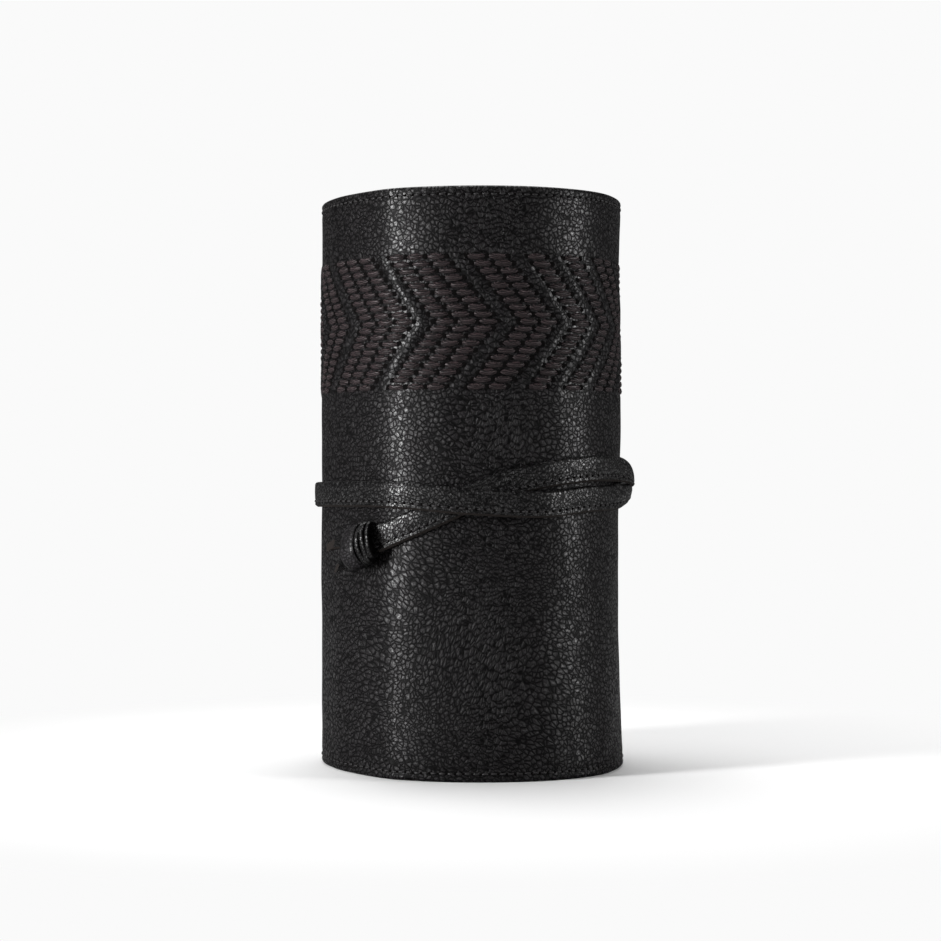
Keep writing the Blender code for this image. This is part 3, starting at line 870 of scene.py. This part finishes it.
def strand(shares, degrees, lift):
    """The middle of a strand at an angle, and the upright way across it."""
    climb = through(shares, degrees + 1) - through(shares, degrees - 1)
    run = 2 * math.radians(1) * TIE_RADIUS / TIE_WIDTH
    height = TIE_HEIGHT + TIE_WIDTH * through(shares, degrees)
    angle = math.radians(degrees)
    centre = polar(TIE_RADIUS - TIE_SINK + lift, angle, height)
    return centre, UP * math.hypot(climb, run) / run, polar(1, angle)


def leading(degrees):
    """The strand from the sewn end to the bight, lifted where it crosses the returning one."""
    first, last = CROSSING
    onto = ease((degrees - first + CROSSING_RAMP) / CROSSING_RAMP)
    off = ease((last + CROSSING_RAMP - degrees) / CROSSING_RAMP)
    return strand(LEADING_SHARES, degrees, TIE_LIFT * onto * off)


def returning(degrees):
    """The strand from the bight to the knot, lying inside out."""
    onto_lead = ease((degrees - BIGHT_RAMP[0]) / (BIGHT_RAMP[1] - BIGHT_RAMP[0])) * TIE_LIFT
    into_knot = ease((KNOT_RAMP[1] - degrees) / (KNOT_RAMP[1] - KNOT_RAMP[0])) * KNOT_DEPTH / 4
    centre, across, out = strand(RETURNING_SHARES, degrees, onto_lead + into_knot)
    return centre, across, -out


def tie_route():
    """The whole tie from its sewn end round the roll, round the bight and back to the knot."""
    sections, marks = [], {}
    degrees = SEWN_START
    while degrees <= BIGHT_ANGLE:
        marks["leading", degrees] = len(sections)
        sections.append(leading(degrees))
        degrees += ROUTE_STEP
    low, high = leading(BIGHT_ANGLE), returning(BIGHT_ANGLE)
    radius, angle = TIE_LIFT / 2, math.radians(BIGHT_ANGLE)
    out, along = polar(1, angle), polar(1, angle + math.pi / 2)
    for facet in range(1, TURN_FACETS):
        share = facet / TURN_FACETS
        turn = math.pi * share
        inward = out * math.cos(turn) - along * math.sin(turn)
        centre = low[0] + out * radius - inward * radius
        centre.z = low[0].z + (high[0].z - low[0].z) * share
        sections.append((centre, low[1].lerp(high[1], share), inward))
    degrees = BIGHT_ANGLE
    while degrees >= KNOT_ANGLE:
        marks["returning", degrees] = len(sections)
        sections.append(returning(degrees))
        degrees -= ROUTE_STEP
    stations, distance, last = [], 0, sections[0][0]
    for centre, across, outward in sections:
        distance += (centre - last).length
        last = centre
        stations.append(Station(distance, centre, across, outward))
    return stations, {mark: stations[index].distance for mark, index in marks.items()}


ROUTE, MARKS = tie_route()


def on_tie(spot):
    """Lay a flat point of the tie along its route: x is the distance from its sewn end."""
    low, high = 0, len(ROUTE) - 1
    while high - low > 1:
        middle = (low + high) // 2
        low, high = (middle, high) if ROUTE[middle].distance <= spot.x else (low, middle)
    first, second = ROUTE[low], ROUTE[high]
    share = (spot.x - first.distance) / (second.distance - first.distance)
    centre = first.centre.lerp(second.centre, share)
    across = first.across.lerp(second.across, share)
    outward = first.outward.lerp(second.outward, share).normalized()
    before_turn = ease((MARKS["leading", BIGHT_ANGLE] - spot.x) / BULGE_FADE + 1)
    outer = ease(spot.y / TIE_LEATHER + 0.5) * before_turn
    return settle(rounded_bight(centre + outward * spot.y + across * spot.z, outer))


def rounded_bight(spot, bulging):
    """Round the turned-back end of the tie off to a nose, seen from the front.

    Before the turn, the strand's outer face also bulges out to the nose's tip just below its height.
    """
    reach = (spot.x - NOSE_START) / (NOSE_END - NOSE_START)
    if spot.y > NOSE_BACK or reach <= 0:
        return spot
    share = (1 - min(reach, NOSE_FLAT) ** NOSE_BLUNTNESS) ** 0.5
    height = NOSE_HEIGHT + (spot.z - NOSE_HEIGHT) * share
    foot, full, wane, top = NOSE_BULGE_HEIGHTS
    bulge = ease((height - foot) / (full - foot)) * ease((top - height) / (top - wane))
    push = NOSE_BULGE * bulge * bulging * ease(reach / NOSE_BULGE_REACH)
    return Vector((spot.x + push, spot.y, height))


# The strap's section, folded over at its top: out and up, in mm
STRAP_SECTION = (
    (0, 4.5), (1.2, 4.5), (1.34, 1.2), (1.25, -1.5), (0.98, -2.5), (1.2, -3.3), (1.16, -3.9), (0.2, -4.6),
    (0, -3.6), (-0.2, -4.6), (-1.16, -3.9), (-1.2, -3.3), (-0.98, -2.5), (-1.25, -1.5), (-1.34, 1.2),
    (-1.2, 4.5),
)
STRAP_ROUNDING = 1 * MM
STRAP_STEP = 1.5 * MM
STRAP_PITCH = 3.1 * MM
STRAP_SEAM = -2.5 * MM
STRAP_SEAM_OUT = 1.1 * MM
SEWN_BOX_OUT = 1.3
RAW_BELOW = -4 * MM
RAW_BESIDE = 0.25 * MM


def strap_blank(start, end, steps):
    """A flat stretch of the folded strap, with its raw double edge marked."""
    mesh = outline(STRAP_SECTION)
    round_corners(mesh, ((1.2, 4.5), (-1.2, 4.5)), STRAP_ROUNDING, 3)
    draw_out(mesh, start, end, steps)
    for face in mesh.faces:
        middle = face.calc_center_median()
        face.material_index = 1 if middle.z < RAW_BELOW and abs(middle.y) > RAW_BESIDE else 0
    return mesh


def strap_length(name, start, end, *nodes):
    """One length of the strap, laid along its route in place of its CAD nodes."""
    mesh = strap_blank(start, end, max(4, round((end - start) / STRAP_STEP)))
    lay_pattern(mesh)
    move_points(mesh, on_tie)
    piece = add_piece(name, mesh, "tie_leather", STRAP, RAW_EDGE)
    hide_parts(*nodes)
    return piece


# The crossed box of stitches that holds the sewn end: where each run starts and ends
SEWN_BOX = [
    tuple(Vector((along, SEWN_BOX_OUT, up)) * MM for along, up in (begin, finish))
    for begin, finish in (
        ((2, -1), (2, 3.2)), ((2, 3.2), (12, 3.2)), ((12, 3.2), (12, -1)), ((2, -1), (12, 3.2)),
        ((2, 3.2), (12, -1)),
    )
]


def strap_stitches(name, start, end):
    """The seam near the strap's lower edge, on both of its faces, and the box at its sewn end."""
    mesh, step = bmesh.new(), Vector((STRAP_PITCH, 0, 0))
    for stitch in range(math.ceil(start / STRAP_PITCH), math.ceil(end / STRAP_PITCH)):
        for side in (-1, 1):
            add_stitch(mesh, Vector((stitch * STRAP_PITCH, side * STRAP_SEAM_OUT, STRAP_SEAM)), step)
    if start == 0:
        for begin, finish in SEWN_BOX:
            step = (finish - begin) / 4
            for stitch in range(4):
                add_stitch(mesh, begin + step * (stitch + 0.5), step)
    lay_pattern(mesh)
    move_points(mesh, on_tie)
    return add_piece(name, mesh, "thread", THREAD, HOLE, crease=80)


def add_tie():
    """The strap in lengths that follow each other, each with the seam along it."""
    marks = [0] + [MARKS["leading", angle] for angle in LEADING_ENDS]
    marks += [MARKS["returning", angle] for angle in RETURNING_ENDS]
    bodies = ["panel_01"] + [f"tie_{link}" for link in range(1, 8)]
    links = [
        ("tie_sewn_end", 0, ["tie_end"]),
        ("tie_round_back_1", 1, ["tie_lead_1"]),
        ("tie_round_back_2", 2, ["tie_lead_2"]),
        ("tie_round_left", 3, ["tie_lead_3"]),
        ("tie_over_crossing", 4, ["tie_lead_4"]),
        ("tie_across_front", 5, ["tie_lead_5"]),
        ("tie_turned_bight", 6, ["tie_lead_6", "tie_bight"]),
        ("tie_coming_back", 5, ["tie_return_1"]),
        ("tie_under_crossing", 4, ["tie_return_2"]),
    ]
    for (name, fold, nodes), start, end in zip(links, marks, marks[1:]):
        before, after = TIE_REACHES[fold]
        low, high = (
            polar(TIE_RADIUS, math.radians(TIE_FOLDS[fold] + turn), TIE_HEIGHT) + ROLL_AXIS
            for turn in (-before, after)
        )
        for piece in (strap_length(name, start, end, *nodes), strap_stitches(name + "_seam", start, end)):
            bodies[fold + 1]
            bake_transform(piece)
            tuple(low)
            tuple(high)


# The knot: turns of the strap drawn tight round each other, and two cut tails

KNOT_SINK = 0.4 * MM
# Each turn's place along the strap, width, half depth and half height, all in mm, and its lean
WRAPS = (
    (-2.2, 7.0, 5.5, 7.7, 0.12), (2.4, 2.1, 4.9, 7.6, 0.26), (4.3, 2.0, 4.6, 7.2, 0.28),
    (6.1, 1.8, 4.1, 6.3, 0.28),
)
WRAP_THICKNESS = 0.36
WRAP_MIDDLE = 0.84
WRAP_SWELL = 0.05
# Beyond this share of a turn's half width, its flanks take the knot's painted shade
WRAP_DRIFT = 0.3 * MM
WRAP_FLANK = 0.94
WRAP_PATTERN = 9 * MM
CORE_SIZE = (5.4, 3.7, 6.4)
TAIL_LENGTH = 10 * MM
TAIL_THINNING = 0.85
TAIL_BOW = 0.5 * MM
# Each tail's root and tip (along, out, across) and widths there, in mm, its twist, its cut's slant and bevel
TAILS = (
    ("tail_upper", (-3, 0.2, 2.4), (-11.0, 3.2, 4.2), 5.2, 4.4, 0.7, 0.1, 0.5),
    ("tail_lower", (-3, -0.6, -2.8), (-13.0, 1.0, -3.6), 6.6, 2.2, -0.5, -0.3, 0.25),
)


def knot_place():
    """The knot's middle, and its directions along the strap, out from the roll and across."""
    angle = math.radians(KNOT_ANGLE)
    climb = through(RETURNING_SHARES, KNOT_ANGLE + 1) - through(RETURNING_SHARES, KNOT_ANGLE - 1)
    run = 2 * math.radians(1) * TIE_RADIUS
    along = polar(run, angle + math.pi / 2, climb * TIE_WIDTH).normalized()
    height = TIE_HEIGHT + TIE_WIDTH * through(RETURNING_SHARES, KNOT_ANGLE)
    centre = polar(ROLL_RADIUS + KNOT_DEPTH / 2 - KNOT_SINK, angle, height)
    return centre, along, polar(1, angle), polar(1, angle).cross(along)


def in_knot(spot):
    """Set a point given along the strap, out from the roll and across into its place in the knot."""
    centre, along, out, over = knot_place()
    return settle(centre + along * spot.x + out * spot.y + over * spot.z)


def wrap_ring(width):
    """A closed turn of the folded strap round the x axis, with a unit radius to its middle layer."""
    mesh = bmesh.new()
    half, crown = width / 2, WRAP_THICKNESS / 2
    points = (
        (-half, 1 - crown * 0.4), (-half * 0.92, 1 + crown * 0.55), (-half * 0.5, 1 + crown),
        (0, 1 + crown * 1.1), (half * 0.5, 1 + crown), (half * 0.92, 1 + crown * 0.55),
        (half, 1 - crown * 0.4), (0, 1 - crown),
    )
    verts = [mesh.verts.new((along, 0, radius)) for along, radius in points]
    edges = [mesh.edges.new(pair) for pair in zip(verts, verts[1:] + verts[:1])]
    bmesh.ops.spin(
        mesh, geom=verts + edges, cent=Vector(), axis=Vector((1, 0, 0)), dvec=Vector(),
        angle=2 * math.pi, steps=40, use_merge=True, use_duplicate=False,
    )
    bmesh.ops.remove_doubles(mesh, verts=mesh.verts, dist=1e-6)
    bmesh.ops.recalc_face_normals(mesh, faces=mesh.faces)
    for face in mesh.faces:
        # The turn's flanks take the knot's painted shade, near black where the turns meet
        face.material_index = 1 if abs(face.calc_center_median().x) > half * WRAP_FLANK else 0
    return mesh


def knot_pattern(mesh):
    """Map a turn by its angle and its width, so that the grain follows the strap round."""
    layer = mesh.loops.layers.uv.verify()
    for face in mesh.faces:
        middle = face.calc_center_median()
        turn = math.atan2(middle.y, middle.z)
        for loop in face.loops:
            own = math.atan2(loop.vert.co.y, loop.vert.co.z)
            own += 2 * math.pi * round((turn - own) / (2 * math.pi))
            loop[layer].uv = (own * WRAP_PATTERN, loop.vert.co.x)


def add_knot():
    """The knot's turns over a core, and its tails."""
    for number, (offset, width, deep, tall, tilt) in enumerate(WRAPS, 1):
        mesh = wrap_ring(width * MM)
        knot_pattern(mesh)
        for vert in mesh.verts:
            x, y, z = vert.co
            turn = math.atan2(y, z)
            size = WRAP_MIDDLE * (1 + WRAP_SWELL * math.sin(3 * turn + number * 1.7)) * MM
            spot = Vector((x + offset * MM, y * deep * size, z * tall * size))
            spot.x += tilt * spot.z + WRAP_DRIFT * math.sin(2 * turn + number)
            vert.co = in_knot(spot)
        # The broad first turn takes the lighter copy of the tie's leather as painted light
        finish = KNOT_LEATHER_PAINTED_LIGHT if number == 1 else STRAP
        piece = add_piece(f"knot_turn_{number}", mesh, "tie_leather", finish, KNOT_PAINTED_SHADE)
        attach(piece, "tie_4")
    mesh = bmesh.new()
    bmesh.ops.create_uvsphere(mesh, u_segments=28, v_segments=18, radius=1)
    knot_pattern(mesh)
    for vert in mesh.verts:
        vert.co = in_knot(vert.co * Vector(CORE_SIZE) * MM - Vector((0, KNOT_SINK, 0)))
    # The core takes the knot's painted shade, so that the gaps between the turns read dark
    core = add_piece("knot_core", mesh, "tie_leather", KNOT_PAINTED_SHADE)
    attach(core, "tie_4")
    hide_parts("tie_knotted_end")
    for tail in TAILS:
        add_tail(*tail)


def add_tail(name, root, tip, root_width, tip_width, twist, slant, bevel):
    """One cut tail of the folded strap, from inside the knot to its raw end."""
    mesh = strap_blank(0, 1, 10)
    for face in mesh.faces:
        if face.normal.x > 0.9:
            face.material_index = 1
    lay_pattern(mesh, lambda spot: (spot.x * TAIL_LENGTH + spot.y * 2, spot.z + spot.y))
    first, last = Vector(root) * MM, Vector(tip) * MM
    for vert in mesh.verts:
        x, y, z = vert.co
        width = (root_width + (tip_width - root_width) * x) * MM / TIE_WIDTH
        turned = Matrix.Rotation(twist * x, 3, "X") @ Vector((0, y * TAIL_THINNING, z * width))
        reach = x + (slant * z / TIE_WIDTH - bevel * y / TIE_LEATHER) * x
        spot = first.lerp(last, reach) + turned
        spot.z += TAIL_BOW * math.sin(math.pi * x)
        vert.co = in_knot(spot)
    # The tails take the darker copy of the tie's leather as painted shade
    piece = add_piece(name, mesh, "tie_leather", TAIL_LEATHER_PAINTED_SHADE, RAW_EDGE)
    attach(piece, "tie_4")


# The pockets, one on each panel of the lining, open at the mouth

POCKET_LEATHER = 0.8 * MM
POCKET_DEPTH = 7 * MM
POCKET_MOUTH = 125 * MM
POCKET_FOOT = HEM + LAYER_GAP
POCKET_TALL = POCKET_MOUTH - POCKET_FOOT
POCKET_INSET = 1 * MM
POCKET_WIDTH = PANEL_WIDTH - 2 * POCKET_INSET
# How many mm of its sides and foot are sewn flat, and how soon it stands off beside that
POCKET_SEAM = 3
SIDE_RISE = 5
FOOT_RISE = 10
# The pockets' stitches: how far in from each edge, where the first one along is, and how many there are
SIDE_SEAM = 1.6 * MM
FOOT_SEAM = 1.8 * MM
MOUTH_SEAM = 2 * MM
FIRST_ALONG = 2.6 * MM
STITCHES_UP = 38
STITCHES_ALONG = 14


def pocket_spot(panel, share, height):
    """A point of a pocket's front: sewn down at its sides and foot, and standing off in its middle."""
    edge = min(share, 1 - share) * POCKET_WIDTH / MM
    up = (height - POCKET_FOOT) / MM
    full = ease((edge - POCKET_SEAM) / SIDE_RISE) * ease((up - POCKET_SEAM) / FOOT_RISE)
    fold = 0.35 * math.sin(share * 9.4 + panel * 2.1) * math.sin(up / 19 + panel) * full
    out = LAYER_GAP + (POCKET_DEPTH - 2 * LAYER_GAP) * full - fold * MM
    return Vector((panel * PANEL_WIDTH + POCKET_INSET + share * POCKET_WIDTH, -LINED - out, height))


def pocket_front(panel):
    """One pocket's front, flat: a sheet of thin leather with its thickness."""
    mesh = bmesh.new()
    bmesh.ops.create_grid(mesh, x_segments=36, y_segments=34, size=0.5)
    lay_pattern(mesh, lambda spot: ((panel + spot.x) * POCKET_WIDTH, spot.y * POCKET_TALL))
    for vert in mesh.verts:
        height = POCKET_FOOT + (vert.co.y + 0.5) * POCKET_TALL
        vert.co = pocket_spot(panel, vert.co.x + 0.5, height)
    bmesh.ops.solidify(mesh, geom=mesh.faces[:], thickness=-POCKET_LEATHER)
    bmesh.ops.recalc_face_normals(mesh, faces=mesh.faces)
    return mesh


def add_pockets():
    """Each pocket is cut down its middle, and its halves are gathered with the lengths of lining on either
    side of that middle.
    """
    pieces = {number: bmesh.new() for number in range(FIRST_POCKET_PANEL - 1, PANEL_COUNT + 1)}
    for panel in range(FIRST_POCKET_PANEL - 1, PANEL_COUNT):
        whole = pocket_front(panel)
        middle = (panel + 0.5) * PANEL_WIDTH
        for side in (0, 1):
            half = whole.copy()
            off = [face for face in half.faces if (face.calc_center_median().x > middle) != bool(side)]
            bmesh.ops.delete(half, geom=off, context="FACES")
            pieces[panel + side].from_mesh(keep("pocket_half", half))
        whole.free()
    for number, mesh in pieces.items():
        move_points(mesh, place)
        piece = add_piece(f"tool_pockets_{number:02d}", mesh, "lining", LINING_LEATHER)
        if number >= FIRST_POCKET_PANEL:
            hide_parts(f"pocket_{number:02d}")
        carry(piece, number)
    add_pocket_stitches()


def add_pocket_stitches():
    """The seams that hold the pockets down their sides and along their feet, and those along their mouths."""
    # Across and up from each pocket's lower corner, and which way the seam runs
    places = [
        (side, SIDE_SEAM + row * SEAM_PITCH, UPWARD)
        for row in range(STITCHES_UP) for side in (SIDE_SEAM, POCKET_WIDTH - SIDE_SEAM)
    ]
    places += [
        (FIRST_ALONG + item * SEAM_PITCH, up, ALONG)
        for item in range(STITCHES_ALONG) for up in (FOOT_SEAM, POCKET_TALL - MOUTH_SEAM)
    ]
    stitches = []
    for panel in range(FIRST_POCKET_PANEL - 1, PANEL_COUNT):
        for across, up, step in places:
            spot = pocket_spot(panel, across / POCKET_WIDTH, POCKET_FOOT + up)
            stitches.append((spot.x, spot - Vector((0, POCKET_LEATHER + BACK_PROUD, 0)), step))
    for number, found in sort_into_lengths(stitches).items():
        if found:
            mesh = bmesh.new()
            for _, spot, step in found:
                add_stitch(mesh, spot, step)
            finish_small(mesh, f"pocket_stitching_{number:02d}", number, THREAD, HOLE)


# What carries the picture: floor, light and camera

def add_floor():
    """A pale floor that keeps the roll's soft shadow and fades into the background further out."""
    mesh = bmesh.new()
    bmesh.ops.create_grid(mesh, x_segments=1, y_segments=1, size=FLOOR_SIZE)
    data = keep("floor", mesh)
    finish = Finish("pale_floor", FLOOR, 0.95, 0)
    gloss = finish.node("ShaderNodeLightPath", output="Is Glossy Ray")
    finish.drive("Base Color", finish.mix(gloss, FLOOR, FLOOR_MIRRORED))
    spot = finish.node("ShaderNodeTexCoord", output="Object")
    distance = finish.vector("LENGTH", spot, (0, 0, 0), "Value")
    fade = finish.ramp(distance, *FLOOR_FADE)
    glow = finish.node("ShaderNodeEmission", {}, {"Color": BACKGROUND, "Strength": 1.0}, "Emission")
    lit = Value(finish, finish.shader.outputs[0])
    share = fade * finish.seen(MIRRORED)
    mixed = finish.node("ShaderNodeMixShader", {}, {0: share, 1: lit, 2: glow}, "Shader")
    finish.put(finish.tree.nodes["Material Output"].inputs["Surface"], mixed)
    data.materials.append(finish.material)
    floor = show("floor", data)


def add_world():
    """A plain dim studio, with a white backdrop that is seen directly and mirrored from behind the roll."""
    world = bpy.data.worlds.new("studio")
    bpy.context.scene.world = world
    world.use_nodes = True
    room = Nodes(world.node_tree)
    way = room.node("ShaderNodeTexCoord", output="Generated")
    depth = room.node("ShaderNodeSeparateXYZ", {}, {0: way}, "Y")
    share = room.seen(room.ramp(depth, BACKDROP_START, 1, 0, MIRRORED))
    color = room.mix(share, ROOM, BACKGROUND)
    room.put(room.tree.nodes["Background"].inputs["Color"], color)


def add_softbox(name, degrees, height, distance, wide, tall, watts):
    """An area lamp aimed at the roll's middle."""
    lamp = bpy.data.lights.new(name, "AREA")
    lamp.shape = "RECTANGLE"
    lamp.size, lamp.size_y = wide, tall
    lamp.energy = watts
    holder = show(name, lamp)
    holder.location = polar(distance, math.radians(degrees - 90), height)
    holder.rotation_euler = (AIM - holder.location).to_track_quat("-Z", "Y").to_euler()


def add_camera():
    """The photograph's camera: level, far off and with a long lens."""
    lens = bpy.data.cameras.new("camera")
    lens.lens = LENS
    lens.sensor_width = SENSOR
    holder = show("camera", lens)
    holder.location = CAMERA_PLACE
    holder.rotation_euler = (math.pi / 2, 0, 0)
    bpy.context.scene.camera = holder


bpy.context.scene.view_settings.view_transform = "Standard"
add_camera()
add_world()
add_floor()
for name, measures in LAMPS.items():
    add_softbox(name, *measures)
add_outer_leather()
add_lining()
add_embroidery()
add_edge_stitching()
add_tie()
add_knot()
add_pockets()
